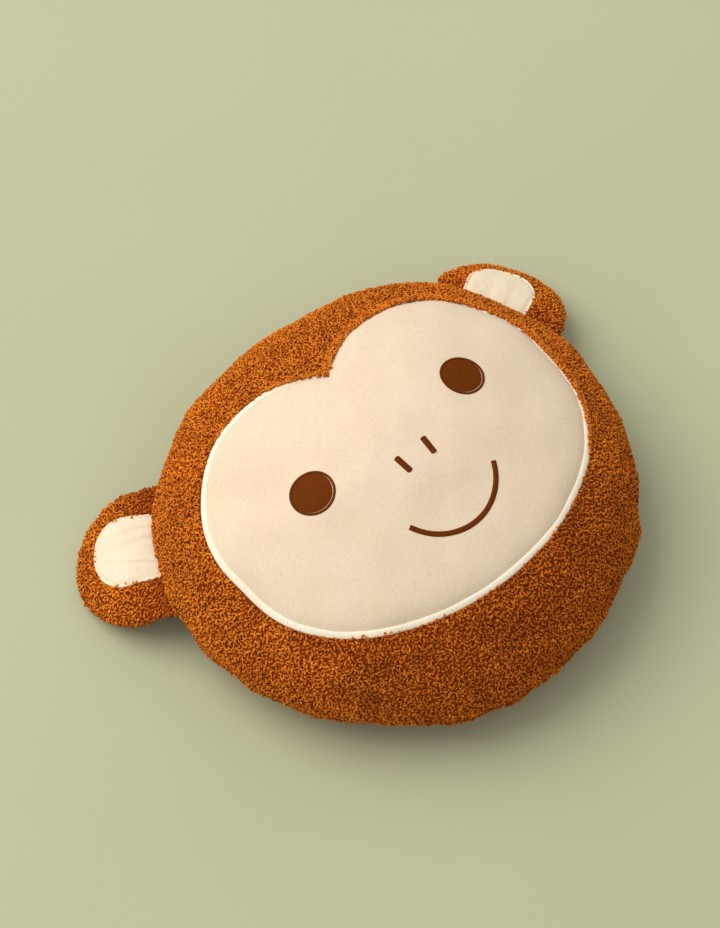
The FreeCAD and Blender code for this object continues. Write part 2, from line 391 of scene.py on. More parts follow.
def head_surface():
    """The head under its pile, which is lowered to leave room for the curls."""
    shift = seam_dents(THETA, PHI)
    shift = shift + smooth_waves(PLAIN, 3, 120, 1.0) + smooth_waves(PLAIN, 5, 45, 0.3)
    shift = shift + stuffed_cover()
    free = off_floor(PHI)
    shift = np.clip(shift, *SHIFT_LIMITS) * free - PILE * (0.25 + 0.75 * free)
    return PLAIN + PLAIN_N * shift[..., None]


def head_share(x, y):
    """Grid shares of the front surface under a face point."""
    theta = np.arctan2(y, x)
    s = np.clip(np.hypot(x, y) / rim(theta), 0, 1)
    return theta / TAU, np.arcsin(s) / math.pi


def face_at(x, y, lift=0.0):
    """A point of the front surface above a face point, raised by lift."""
    a, b = head_share(np.asarray(x, float), np.asarray(y, float))
    return HEAD.at(a, b, lift)


# ------------------------------------------------------------------------------------------ meshes
def mesh_object(name, points, faces):
    """A mesh piece from points in mm and faces of any size."""
    data = bpy.data.meshes.new(name)
    places = (np.asarray(points, float) * MM).tolist()
    data.from_pydata(places, [], [tuple(map(int, f)) for f in faces])
    data.validate()
    data.update()
    data.polygons.foreach_set("use_smooth", [True] * len(data.polygons))
    return put_in(name, data)


def grid_faces(rows, cols, wrap_rows=False, wrap_cols=False):
    """Quads over a grid of rows by cols points, in reading order."""
    last_r = rows if wrap_rows else rows - 1
    last_c = cols if wrap_cols else cols - 1
    r = np.arange(last_r)[:, None]
    c = np.arange(last_c)[None, :]
    r1, c1 = (r + 1) % rows, (c + 1) % cols
    return np.stack([r * cols + c, r * cols + c1, r1 * cols + c1, r1 * cols + c], -1).reshape(-1, 4)


def dress(piece, material):
    piece.data.materials.clear()
    piece.data.materials.append(material)


def weld(piece, distance):
    """Joins points nearer than a distance in mm, if it isn't 0, and faces a piece outwards."""
    bm = bmesh.new()
    bm.from_mesh(piece.data)
    if distance:
        bmesh.ops.remove_doubles(bm, verts=bm.verts, dist=distance * MM)
    bmesh.ops.recalc_face_normals(bm, faces=bm.faces)
    bm.to_mesh(piece.data)
    bm.free()


def grid_object(name, points, material=None, wrap_rows=False, join=0.02):
    """A piece from a grid of points, welded at its poles unless join is None."""
    faces = grid_faces(*points.shape[:2], wrap_rows)
    piece = mesh_object(name, points.reshape(-1, 3), faces)
    if join is not None:
        weld(piece, join)
    if material:
        dress(piece, material)
    return piece


def run_object(name, rings, material, closed, join=0):
    """A run of rings of points, joined end to end if closed and capped if not."""
    rows, cols = rings.shape[:2]
    faces = list(grid_faces(rows, cols, closed, True))
    if not closed:
        faces.append(tuple(range(cols)))
        faces.append(tuple((rows - 1) * cols + k for k in reversed(range(cols))))
    piece = mesh_object(name, rings.reshape(-1, 3), faces)
    weld(piece, join)
    dress(piece, material)
    return piece


def paint(piece, name, values):
    """A value per vertex that the material reads as a colour attribute."""
    layer = piece.data.color_attributes.new(name, "FLOAT_COLOR", "POINT")
    colour = np.ones((len(piece.data.vertices), 4), np.float32)
    colour[:, : values.shape[1]] = values
    layer.data.foreach_set("color", colour.ravel())


HEAD = Skin(head_surface())

# ---------------------------------------------------------------------------------------- materials
def node_material(name):
    material = bpy.data.materials.new(name)
    material.use_nodes = True
    return material, material.node_tree, material.node_tree.nodes["Principled BSDF"]


def finish_shader(tree, shader, colour, rough, specular=None, sheen=None, sheen_rough=None):
    """Links the colour and sets the surface; what isn't given keeps Blender's own value."""
    tree.links.new(colour, shader.inputs["Base Color"])
    for key, value in (
        ("Roughness", rough),
        ("Specular IOR Level", specular),
        ("Sheen Weight", sheen),
        ("Sheen Roughness", sheen_rough),
    ):
        if value is not None:
            shader.inputs[key].default_value = value


def add_node(tree, kind, **settings):
    node = tree.nodes.new(kind)
    for key, value in settings.items():
        if key in node.inputs:
            node.inputs[key].default_value = value
        else:
            setattr(node, key, value)
    return node


def ramp(tree, source, stops):
    """A colour ramp fed from a socket."""
    node = tree.nodes.new("ShaderNodeValToRGB")
    elements = node.color_ramp.elements
    while len(elements) > 1:
        elements.remove(elements[0])
    elements[0].position = stops[0][0]
    elements[0].color = (*stops[0][1], 1)
    for place, colour in stops[1:]:
        item = elements.new(place)
        item.color = (*colour, 1)
    tree.links.new(source, node.inputs["Fac"])
    return node.outputs["Color"]


def multiply(tree, *colours):
    """Colours multiplied together in turn."""
    total = colours[0]
    for colour in colours[1:]:
        node = tree.nodes.new("ShaderNodeMix")
        node.data_type = "RGBA"
        node.blend_type = "MULTIPLY"
        node.inputs["Factor"].default_value = 1.0
        first, second = (s for s in node.inputs if s.type == "RGBA")
        tree.links.new(total, first)
        tree.links.new(colour, second)
        total = next(s for s in node.outputs if s.type == "RGBA")
    return total


def noise(tree, scale, detail=4.0, rough=0.6):
    where = tree.nodes.new("ShaderNodeTexCoord")
    node = add_node(tree, "ShaderNodeTexNoise", Scale=scale, Detail=detail, Roughness=rough)
    tree.links.new(where.outputs["Object"], node.inputs["Vector"])
    return node.outputs["Fac"]


def stretched_noise(tree, scale):
    """Noise drawn out along the nap."""
    where = tree.nodes.new("ShaderNodeTexCoord")
    turned = tree.nodes.new("ShaderNodeMapping")
    turned.inputs["Rotation"].default_value = (0, 0, 0.35)
    turned.inputs["Scale"].default_value = scale
    tree.links.new(where.outputs["Object"], turned.inputs["Vector"])
    node = add_node(tree, "ShaderNodeTexNoise", Scale=1.0, Detail=3.0)
    tree.links.new(turned.outputs["Vector"], node.inputs["Vector"])
    return node.outputs["Fac"]


def bump(tree, shader, height, strength, distance):
    node = add_node(tree, "ShaderNodeBump", Strength=strength, Distance=distance)
    tree.links.new(height, node.inputs["Height"])
    tree.links.new(node.outputs["Normal"], shader.inputs["Normal"])


def srgb(r, g, b):
    """Linear colour of an 8-bit sRGB one."""
    out = []
    for value in (r, g, b):
        v = value / 255
        out.append(v / 12.92 if v <= 0.04045 else ((v + 0.055) / 1.055) ** 2.4)
    return tuple(out)


def teddy_material(name, on_curl):
    """Brown pile. Curls read "strand": red is how far up the curl, which paints shade at the roots;
    green their lightness, random tone times painted shade.
    """
    material, tree, shader = node_material(name)
    if on_curl:
        attribute = add_node(tree, "ShaderNodeAttribute", attribute_name="strand")
        split = tree.nodes.new("ShaderNodeSeparateColor")
        tree.links.new(attribute.outputs["Color"], split.inputs["Color"])
        # painted shade: roots darker and redder than the tips, where shade falls between curls
        along = ramp(
            tree,
            split.outputs["Red"],
            [(0.0, srgb(164, 60, 6)), (0.55, srgb(216, 108, 18)), (1.0, srgb(243, 146, 42))],
        )
        # random tone, with painted shade dark and red at the low end
        tone_and_shade_tint = ramp(
            tree,
            split.outputs["Green"],
            [
                (0.0, (0.5, 0.34, 0.3)),
                (0.4, (0.86, 0.78, 0.72)),
                (0.6, (1.0, 0.99, 0.96)),
                (1.0, (1.08, 1.12, 1.12)),
            ],
        )
        colour = multiply(tree, along, tone_and_shade_tint)
    else:
        colour = ramp(
            tree, noise(tree, 420, 3), [(0.3, srgb(132, 50, 6)), (0.7, srgb(170, 76, 11))]
        )
        bump(tree, shader, noise(tree, 900, 4), 0.8, 0.001)
    patches = ramp(
        tree, noise(tree, 28, 2), [(0.35, (0.88, 0.85, 0.83)), (0.65, (1.05, 1.05, 1.04))]
    )
    finish_shader(tree, shader, multiply(tree, colour, patches), 0.8, 0.12, 0.25, 0.4)
    shader.inputs["Sheen Tint"].default_value = (1.0, 0.42, 0.1, 1)
    return material


def velour_material(name, dark, light):
    material, tree, shader = node_material(name)
    mottled = ramp(tree, noise(tree, 16, 3, 0.55), [(0.3, dark), (0.7, light)])
    fine = ramp(
        tree, noise(tree, 430, 5, 0.75), [(0.3, (0.93, 0.92, 0.91)), (0.7, (1.04, 1.04, 1.04))]
    )
    drawn_out = stretched_noise(tree, (240, 900, 400))
    nap = ramp(tree, drawn_out, [(0.35, (0.965,) * 3), (0.65, (1.02,) * 3)])
    bump(tree, shader, noise(tree, 800, 4, 0.7), 0.35, 0.0008)
    finish_shader(tree, shader, multiply(tree, mottled, fine, nap), 0.85, 0.2, 0.25, 0.5)
    return material


def thread_material(name, dark, light, rough):
    material, tree, shader = node_material(name)
    colour = ramp(tree, noise(tree, 700, 3), [(0.3, dark), (0.7, light)])
    bump(tree, shader, noise(tree, 1800, 2), 0.2, 0.0004)
    finish_shader(tree, shader, colour, rough, 0.08)
    return material


def plain_cloth_material(name, dark, light, scale):
    material, tree, shader = node_material(name)
    colour = ramp(tree, noise(tree, scale, 5), [(0.3, dark), (0.7, light)])
    bump(tree, shader, noise(tree, scale * 2, 3), 0.3, 0.001)
    finish_shader(tree, shader, colour, 0.9)
    return material


TEDDY = teddy_material("teddy_ground", False)
CURLS = teddy_material("teddy_curls", True)
VELOUR = velour_material("cream_velour", srgb(239, 218, 189), srgb(246, 226, 198))
EAR_VELOUR = velour_material("pale_ear_velour", srgb(243, 227, 198), srgb(249, 236, 208))
CREAM_THREAD = thread_material("cream_thread", srgb(249, 236, 210), srgb(255, 249, 232), 0.6)
EAR_THREAD = thread_material("pale_ear_thread", srgb(245, 230, 203), srgb(252, 240, 215), 0.6)
BROWN_THREAD = thread_material("brown_thread", srgb(97, 43, 2), srgb(117, 57, 6), 0.8)
FIBRE = plain_cloth_material("white_fibre", srgb(225, 222, 215), srgb(245, 243, 238), 60)
BACKING = plain_cloth_material("white_backing", srgb(228, 226, 220), srgb(240, 238, 232), 400)


# ------------------------------------------------------------------------------------- face outline
PATCH_HALF_W = 155.5
LOBE_R = 94.5
LOBE_UP = 16.3
JAW_DOWN = 4.0
JAW_DROP = 119.8
LOBE_ACROSS = PATCH_HALF_W - LOBE_R
LOBE_START = math.acos(-LOBE_ACROSS / LOBE_R)
ARC_LENGTH = LOBE_R * LOBE_START
SIDE_LENGTH = LOBE_UP + JAW_DOWN


def jaw_angles():
    """Evenly spaced angles round the quarter ellipse of the jaw."""
    psi = np.linspace(0, -math.pi / 2, 400)
    x, y = PATCH_HALF_W * np.cos(psi), JAW_DROP * np.sin(psi)
    run = np.concatenate([[0], np.cumsum(np.hypot(np.diff(x), np.diff(y)))])
    return psi, run


JAW_PSI, JAW_RUN = jaw_angles()
HALF_LENGTH = ARC_LENGTH + SIDE_LENGTH + JAW_RUN[-1]


def half_outline(t, inset):
    """Right half of the face outline from the notch (t = 0) to the chin, drawn in by inset."""
    t, inset = np.broadcast_arrays(np.asarray(t, float), np.asarray(inset, float))
    start = np.arccos(np.clip(-LOBE_ACROSS / (LOBE_R - inset), -1, 1))
    alpha = start * (1 - np.clip(t / ARC_LENGTH, 0, 1))
    x = LOBE_ACROSS + (LOBE_R - inset) * np.cos(alpha)
    y = LOBE_UP + (LOBE_R - inset) * np.sin(alpha)
    side = t > ARC_LENGTH
    x = np.where(side, PATCH_HALF_W - inset, x)
    y = np.where(side, LOBE_UP - (t - ARC_LENGTH), y)
    jaw = t > ARC_LENGTH + SIDE_LENGTH
    psi = np.interp(t - ARC_LENGTH - SIDE_LENGTH, JAW_RUN, JAW_PSI)
    nx, ny = np.cos(psi) / PATCH_HALF_W, np.sin(psi) / JAW_DROP
    size = np.hypot(nx, ny)
    x = np.where(jaw, PATCH_HALF_W * np.cos(psi) - inset * nx / size, x)
    y = np.where(jaw, -JAW_DOWN + JAW_DROP * np.sin(psi) - inset * ny / size, y)
    return np.maximum(x, 0.0), y


def face_outline(t, inset):
    """Whole outline: t from 0 to 2 goes right round from the notch by way of the right cheek."""
    t, inset = np.broadcast_arrays(np.asarray(t, float) % 2.0, np.asarray(inset, float))
    x, y = half_outline(np.where(t <= 1, t, 2 - t) * HALF_LENGTH, inset)
    return np.where(t <= 1, x, -x), y


VELOUR_RISE = 2.6


def velour_waves(points):
    return smooth_waves(points, 21, 60, 0.22) + smooth_waves(points, 22, 24, 0.08)


def velour_at(x, y, lift=0.0):
    """A point raised by lift above the velour, well inside the face."""
    a, b = head_share(np.asarray(x, float), np.asarray(y, float))
    return HEAD.at(a, b, VELOUR_RISE + velour_waves(HEAD.at(a, b)) + lift)


def make_face_patch():
    """The velour: rings from the border to the middle of the face, turned down at its edge."""
    around, rings = 640, 54
    t = np.linspace(0, 2, around, endpoint=False)[:, None]
    k = np.linspace(0, 1, rings)[None, :] ** 0.9
    ox, oy = face_outline(t, BORDER_WIDTH - 0.6)
    centre_y = -8.0
    x = ox * (1 - k)
    y = centre_y + (oy - centre_y) * (1 - k)
    edge = np.hypot(ox - x, oy - y)
    rise = 0.3 + 1.3 * (1 - bell(edge, 2.2)) + 1.0 * (1 - bell(edge, 9.0))
    points = face_at(x, y)
    pucker = 0.2 * np.sin(t * HALF_LENGTH / 9.0 + 2 * np.sin(t * 23)) * np.exp(-edge / 7.0)
    a, b = head_share(x, y)
    points = HEAD.at(a, b, rise + pucker + velour_waves(points))
    return grid_object("face_velour", points, VELOUR, True)


def satin_band(name, side_a, side_b, lift_of, low, pitch, material, closed, across=9, on=face_at):
    """A raised band of satin stitch between two edges.

    side_a and side_b are point arrays along the band; the threads run from one to the other.
    """
    share = np.linspace(0, 1, across)[None, :]
    x = side_a[:, 0:1] * (1 - share) + side_b[:, 0:1] * share
    y = side_a[:, 1:2] * (1 - share) + side_b[:, 1:2] * share
    run = run_along((side_a + side_b) / 2)
    thread = np.abs(np.sin(math.pi * run / pitch))[:, None] ** 0.7
    crown = np.sqrt(np.clip(1 - (2 * share - 1) ** 2, 0, 1))
    lift = low + (lift_of - 0.16 * (1 - thread)) * crown
    rng = np.random.default_rng(len(name))
    per_thread = rng.normal(0, 0.12, int(run[-1] / pitch) + 3)[(run / pitch).astype(int)]
    lift = lift + 0.5 * per_thread[:, None] * crown
    top = on(x, y, lift)
    bottom = on(x[:, [-1, 0]], y[:, [-1, 0]], 0 * x[:, :2] - 0.6)
    return run_object(name, np.concatenate([top, bottom], 1), material, closed, 0.001)


BORDER_WIDTH = 4.5


def make_border():
    step = 0.3
    count = int(2 * HALF_LENGTH / step)
    t = np.linspace(0, 2, count, endpoint=False)
    outer = np.stack(face_outline(t, -0.2), -1)
    inner = np.stack(face_outline(t, BORDER_WIDTH), -1)
    return satin_band("face_border", outer, inner, 1.0, 0.5, 0.95, CREAM_THREAD, True)


EYE_ACROSS, EYE_UP, EYE_R = 74.5, 14.6, 17.2


def make_eye(side, sign):
    cx, cy = sign * EYE_ACROSS, EYE_UP
    step, reach = 0.4, EYE_R - 1.9
    line = np.arange(-reach, reach + step / 2, step)
    gx, gy = np.meshgrid(line, line, indexing="ij")
    # square grid squeezed into the disc
    r_sq = np.maximum(np.abs(gx), np.abs(gy))
    r_ci = np.hypot(gx, gy)
    squeeze = np.where(r_ci > 1e-6, r_sq / np.maximum(r_ci, 1e-6), 1.0)
    px, py = gx * squeeze, gy * squeeze
    lean = math.radians(38)
    u = px * math.cos(lean) + py * math.sin(lean)
    v = -px * math.sin(lean) + py * math.cos(lean)
    row = np.floor(u / 0.8)
    rows = np.abs(np.sin(math.pi * u / 0.8)) ** 0.6
    breaks = np.exp(-((((v + 1.7 * row) % 4.2) - 2.1) / 0.35) ** 2)
    lift = 0.55 + 0.14 * rows - 0.16 * breaks - 0.5 * np.clip((np.hypot(px, py) / reach) ** 6, 0, 1)
    places = velour_at(cx + px - 0.12, cy + py + 0.42, lift)
    fill = grid_object(side + "_eye_disc", places, BROWN_THREAD, join=0)
    count = int(TAU * EYE_R / 0.22)
    angle = np.linspace(0, TAU, count, endpoint=False)
    ring = np.stack([np.cos(angle), np.sin(angle)], -1)
    outer = np.array([cx, cy]) + ring * EYE_R
    inner = np.array([cx, cy]) + ring * (EYE_R - 2.0)
    rim_piece = satin_band(
        side + "_eye_ring", outer, inner, 0.75, 0.1, 0.7, BROWN_THREAD, True, 7, velour_at
    )
    return fill, rim_piece


def stroke(name, centre_line, widths, lift_of, low, pitch):
    """A satin stroke along a line in the face plane, with its own width at each point."""
    way = unit(np.gradient(centre_line, axis=0))
    side = np.stack([-way[:, 1], way[:, 0]], -1) * widths[:, None] / 2
    edges = centre_line - side, centre_line + side
    return satin_band(name, *edges, lift_of, low, pitch, BROWN_THREAD, False, 9, velour_at)


def make_nostril(side, sign):
    lean = math.radians(4.0) * -sign
    half = 7.7
    s = np.linspace(-half, half, 90)
    line = np.stack([1.0 + sign * 12.5 - s * math.sin(lean), -14.5 + s * math.cos(lean)], -1)
    round_end = np.sqrt(np.clip(1 - np.clip((np.abs(s) - (half - 0.8)) / 0.8, 0, 1) ** 2, 0.02, 1))
    return stroke(side + "_nostril", line, 4.9 * round_end, 0.85, 0.1, 0.75)


def make_smile():
    end = math.radians(24.0)
    angle = np.linspace(-end, -math.pi + end, 520)
    line = np.stack([2.2 + 45.8 * np.cos(angle), -34.0 + 45.8 * np.sin(angle)], -1)
    widths = np.full(len(line), 4.1)
    return stroke("smile", line, widths, 0.85, 0.1, 0.75)


# ------------------------------------------------------------------------------------------- curls
def curl_shapes(seed):
    """A few small hooked loops of yarn, as tubes standing on the origin, in mm."""
    rng = np.random.default_rng(seed)
    shapes = []
    sides, steps = 3, 7
    for _ in range(12):
        loop = rng.uniform(0.85, 1.25)
        sweep = math.radians(rng.uniform(235, 330))
        t = np.linspace(0, 1, steps + 1)
        spin = -math.pi / 2 - math.radians(25) + sweep * t
        x = loop * np.cos(spin)
        z = loop * (np.sin(spin) + 1) * rng.uniform(0.9, 1.1)
        y = rng.uniform(0.5, 1.3) * (t - 0.5) + 0.2 * np.sin(spin * 1.7)
        line = np.stack([x, y, z - 0.5], -1)
        way = unit(np.gradient(line, axis=0))
        side = unit(np.cross(way, [0.3, 0.9, 0.2]))
        other = np.cross(way, side)
        thick = 0.76 * (0.55 + 0.45 * np.sin(math.pi * t) ** 0.6)
        ring = []
        for k in range(sides):
            angle = TAU * k / sides
            ring.append(line + (side * math.cos(angle) + other * math.sin(angle)) * thick[:, None])
        shapes.append(np.stack(ring, 1).reshape(-1, 3))
    faces = grid_faces(steps + 1, sides, False, True)
    tip = np.repeat(np.sin(np.linspace(0.05, 0.9, steps + 1) * math.pi), sides)
    return np.array(shapes), faces, tip


CURL_SHAPES, CURL_FACES, CURL_TIP = curl_shapes(7)


def spread(points, spacing, rng):
    """Keeps points that are at least spacing apart, in random order: an even natural scatter."""
    order = rng.permutation(len(points))
    cell = spacing / math.sqrt(3) * 1.001
    taken = {}
    kept = []
    coords = points.tolist()
    keys = np.floor(points / cell).astype(int).tolist()
    reach = range(-2, 3)
    near = [(i, j, k) for i in reach for j in reach for k in reach]
    limit = spacing * spacing
    for index in order.tolist():
        kx, ky, kz = keys[index]
        if (kx, ky, kz) in taken:
            continue
        px, py, pz = coords[index]
        free = True
        for i, j, k in near:
            other = taken.get((kx + i, ky + j, kz + k))
            if other is not None:
                qx, qy, qz = coords[other]
                if (px - qx) ** 2 + (py - qy) ** 2 + (pz - qz) ** 2 < limit:
                    free = False
                    break
        if free:
            taken[(kx, ky, kz)] = index
            kept.append(index)
    return np.array(kept)


# the curls stand CURL_GAP mm apart and lean at random by about CURL_TILT
CURL_GAP = 1.72
CURL_TILT = 0.36


def curl_piece(name, feet, normals, seed, tone=1.0):
    """One piece holding a curl at each foot, with tone a lightness for each that carries painted
    shade.
    """
    rng = np.random.default_rng(seed)
    count = len(feet)
    which = rng.integers(0, len(CURL_SHAPES), count)
    spin = rng.uniform(0, TAU, count)
    helper = np.where(np.abs(normals[:, 2:3]) < 0.9, [[0.0, 0.0, 1.0]], [[1.0, 0.0, 0.0]])
    east = unit(np.cross(helper, normals))
    north = np.cross(normals, east)
    first = east * np.cos(spin)[:, None] + north * np.sin(spin)[:, None]
    second = np.cross(normals, first)
    up = unit(normals + rng.normal(0, CURL_TILT, (count, 3)))
    scale = rng.uniform(0.85, 1.25, count)
    shape = CURL_SHAPES[which] * scale[:, None, None]
    points = (
        feet[:, None, :]
        + shape[..., 0:1] * first[:, None, :]
        + shape[..., 1:2] * second[:, None, :]
        + shape[..., 2:3] * up[:, None, :]
    )
    per = CURL_SHAPES.shape[1]
    faces = (CURL_FACES[None] + (np.arange(count) * per)[:, None, None]).reshape(-1, 4)
    data = bpy.data.meshes.new(name)
    flat = (points.reshape(-1, 3) * MM).astype(np.float32)
    data.vertices.add(len(flat))
    data.vertices.foreach_set("co", flat.ravel())
    data.loops.add(faces.size)
    data.loops.foreach_set("vertex_index", faces.ravel().astype(np.int32))
    data.polygons.add(len(faces))
    data.polygons.foreach_set("loop_start", (np.arange(len(faces)) * 4).astype(np.int32))
    data.polygons.foreach_set("use_smooth", np.ones(len(faces), bool))
    data.update(calc_edges=True)
    data.validate()
    piece = put_in(name, data)
    shade = np.empty((count, per, 2), np.float32)
    # red: how far up the curl, for the painted root shade; green: random lightness times the
    # painted shade tone
    shade[..., 0] = CURL_TIP[None]
    shade[..., 1] = (rng.beta(3, 3, count) * tone)[:, None]
    paint(piece, "strand", shade.reshape(-1, 2))
    dress(piece, CURLS)
    return piece


def scatter(skin, mask, spacing, seed):
    """Evenly scattered grid shares over the cells of a skin that mask allows."""
    rng = np.random.default_rng(seed)
    q = np.concatenate([skin.p, skin.p[:1]], 0)
    du = q[1:, :-1] - q[:-1, :-1]
    dv = q[:-1, 1:] - q[:-1, :-1]
    area = np.linalg.norm(np.cross(du, dv), axis=-1)
    rows, cols = area.shape
    a = (np.arange(rows) + 0.5) / rows
    b = (np.arange(cols) + 0.5) / cols
    weight = area * mask(*np.meshgrid(a, b, indexing="ij"), q[:-1, :-1])
    total = weight.sum()
    count = int(3.2 * total / (spacing * spacing))
    pick = rng.choice(weight.size, count, p=(weight / total).ravel())
    r, c = np.unravel_index(pick, weight.shape)
    a = (r + rng.uniform(0, 1, count)) / rows
    b = (c + rng.uniform(0, 1, count)) / cols
    points = skin.at(a, b)
    kept = spread(points, spacing, rng)
    return a[kept], b[kept]


def inside_face(x, y, inset):
    """Whether face points lie inside the outline drawn in by inset."""
    x = np.abs(x)
    lobe = np.hypot(x - LOBE_ACROSS, y - LOBE_UP) < LOBE_R - inset
    cheek = (x < PATCH_HALF_W - inset) & (y < LOBE_UP) & (y > -JAW_DOWN)
    jaw = (y <= -JAW_DOWN) & (
        (x / (PATCH_HALF_W - inset)) ** 2 + ((y + JAW_DOWN) / (JAW_DROP - inset)) ** 2 < 1
    )
    return lobe | cheek | jaw


def overlap(p):
    """How far the fur reaches in over the face outline; most on the crown's right, by the fold."""
    way = np.arctan2(p[..., 1], p[..., 0])
    far = np.clip(2.2 - np.abs(way - math.radians(38)) / math.radians(36), 0, 1)
    return 1.0 + 5.4 * far


def front_mask(a, b, p):
    free = ~inside_face(p[..., 0], p[..., 1], overlap(p))
    return (free & (b <= 0.5)).astype(float)


def overlap_mask(a, b, p):
    """The strip of fur that lies over the border stitch."""
    reach = overlap(p)
    strip = inside_face(p[..., 0], p[..., 1], 0.4) & ~inside_face(p[..., 0], p[..., 1], reach)
    return (strip & (reach > 2.0) & (b <= 0.5)).astype(float)


def back_mask(a, b, p):
    return ((b > 0.5) & (p[..., 2] > 1.5)).astype(float)


COVER_ROWS = 720


def cloth_lumps(points):
    """Unevenness of the woven ground under the curls."""
    return smooth_waves(points, 41, 6.0, 0.35) + smooth_waves(points, 42, 3.6, 0.2)


def make_head_covers():
    """Front and back of the head's cover. The front is pressed in a little under the face."""
    a, b = grid_of(round_shares(COVER_ROWS), np.linspace(0, 0.5, 130))
    base = HEAD.at(a, b)
    under_face = inside_face(base[..., 0], base[..., 1], 2.0)
    lumps = np.where(under_face, -0.8, cloth_lumps(base))
    front = grid_object("head_front_cover", HEAD.at(a, b, lumps), TEDDY, True)
    a, b = grid_of(round_shares(COVER_ROWS), 0.5 + 0.5 * np.linspace(0, 1, 110))
    points = HEAD.at(a, b, cloth_lumps(HEAD.at(a, b)) * off_floor(b * math.pi))
    points[..., 2] = np.maximum(points[..., 2], 0.0)
    return front, grid_object("head_back_cover", points, TEDDY, True)


CURL_SECTORS = 8
BACK_GAP, OVERLAP_GAP = CURL_GAP * 1.25, CURL_GAP * 0.72
OVERLAP_RAISE = 1.9


def painted_shade_tone(feet):
    """Curl lightness: painted shade that darkens the pile towards the chin's right cheek, the side
    turned away from the key light, with a little random unevenness.
    """
    way = np.arctan2(feet[:, 1], feet[:, 0])
    gap = np.abs(turn_gap(way - math.radians(-95)))
    shade_side = np.clip(1.25 - gap / math.radians(75), 0, 1)
    near_face = inside_face(feet[:, 0], feet[:, 1], -34.0)
    depth = shade_side * shade_side * (3 - 2 * shade_side)
    # painted shade, deepest near the face; the waves are random tone
    return 1.15 - depth * np.where(near_face, 0.62, 0.5) + smooth_waves(feet, 91, 26, 0.1)


FILL_DEPTH = 4.5


def make_head_fill():
    """The stuffing: the head's own form, a little under its covers."""
    a, b = grid_of(round_shares(180), np.linspace(0, 1, 91))
    points = HEAD.at(a, b, smooth_waves(HEAD.at(a, b), 81, 30, 0.5) - FILL_DEPTH)
    points[..., 2] = np.maximum(points[..., 2], 1.5)
    return grid_object("head_fibre", points, FIBRE, True)


def make_head_curls():
    pieces = []
    a, b = scatter(HEAD, front_mask, CURL_GAP, 101)
    more_a, more_b = scatter(HEAD, overlap_mask, OVERLAP_GAP, 103)
    a, b = np.concatenate([a, more_a]), np.concatenate([b, more_b])
    feet, normals = HEAD.at(a, b), HEAD.normal(a, b)
    over = inside_face(feet[:, 0], feet[:, 1], 0.6)
    feet = feet + normals * np.where(over, OVERLAP_RAISE, 0.0)[:, None]
    # painted shade of the pile towards the chin's right cheek
    tone = painted_shade_tone(feet)
    sector = (a * CURL_SECTORS).astype(int) % CURL_SECTORS
    for k in range(CURL_SECTORS):
        chosen = sector == k
        name = "front_curls_%d" % (k + 1)
        pieces.append(curl_piece(name, feet[chosen], normals[chosen], 200 + k, tone[chosen]))
    a, b = scatter(HEAD, back_mask, BACK_GAP, 102)
    pieces.append(curl_piece("back_curls", HEAD.at(a, b), HEAD.normal(a, b), 210))
    keep_above_floor(pieces[-1])
    return pieces


def keep_above_floor(piece):
    count = len(piece.data.vertices)
    flat = np.empty(count * 3, np.float32)
    piece.data.vertices.foreach_get("co", flat)
    flat = flat.reshape(-1, 3)
    flat[:, 2] = np.maximum(flat[:, 2], 0.0002)
    piece.data.vertices.foreach_set("co", flat.ravel())
    piece.data.update()


def tube(name, line, radius, material, closed):
    """A thread of the given radius along a line of points in mm."""
    sides = 6
    if closed:
        way = np.roll(line, -1, 0) - np.roll(line, 1, 0)
    else:
        way = np.gradient(line, axis=0)
    way = unit(way)
    side = unit(np.cross(way, [0.1, 0.2, 1.0]))
    other = np.cross(way, side)
    angle = np.linspace(0, TAU, sides, endpoint=False)[None, :, None]
    radius = np.broadcast_to(radius, len(line))[:, None, None]
    out = side[:, None, :] * np.cos(angle) + other[:, None, :] * np.sin(angle)
    return run_object(name, line[:, None, :] + radius * out, material, closed)


def make_edge_seam():
    """Lock stitches that dip in and out of the groove all round."""
    stitches, per = 250, 12
    a = np.arange(stitches * per) / (stitches * per)
    dip = np.cos(TAU * a * stitches)
    line = HEAD.at(a, np.full_like(a, 0.5), 0.5 + 0.55 * dip)
    return tube("edge_seam", line, 0.42 + 0.1 * dip, BROWN_THREAD, True)


def make_closing_stitch():
    """Ladder stitches that close the stuffing gap at the chin."""
    stitches, per = 17, 10
    k = np.arange(stitches * per) / per
    a = 0.75 + (k / stitches - 0.5) * 90.0 / (TAU * 181.0)
    swing = np.clip(1.6 * np.sin(math.pi * k), -1, 1)
    line = HEAD.at(a, 0.5 + 0.0085 * swing, 1.2 + 0.5 * np.cos(math.pi * k) ** 2)
    return tube("closing_ladder", line, 0.5, BROWN_THREAD, False)


# -------------------------------------------------------------------------------------------- ears
EAR_HINGE_R = 191.4
EAR_DROOP = math.radians(30.0)
EAR_LENGTH = 67.0
EAR_HALF_W = 53.0
EAR_HALF_T = 13.5
EAR_ROOT_T = 2.6
EAR_CROWN = {"left": -1, "right": 1}
EAR_ROOT_R = 186.5
EAR_SHOULDER = 0.16
EAR_PATCH_HALF = 27.5
EAR_PATCH_REACH = 44.5
EAR_PATCH_CORNER = 26.0
EAR_PATCH_SHIFT = 4.5
EAR_STRETCH = {"left": 1.055, "right": 0.985}
EAR_SWELL = {"left": 0.08, "right": 0.05}
EAR_CREASE = {"left": 2.2, "right": 0.7}
EAR_ROWS, EAR_COLS = 240, 121


def ear_width(x):
    reach = np.clip(x / EAR_LENGTH, 0, 1)
    u = np.clip((reach - EAR_SHOULDER) / (1 - EAR_SHOULDER), 0, 1)
    round_tip = np.clip(1 - u**1.93, 0, 1) ** (1 / 1.93)
    root = 1.03 - 0.03 * np.sin(math.pi / 2 * np.clip(reach / EAR_SHOULDER, 0, 1))
    return EAR_HALF_W * np.where(reach < EAR_SHOULDER, root, round_tip)


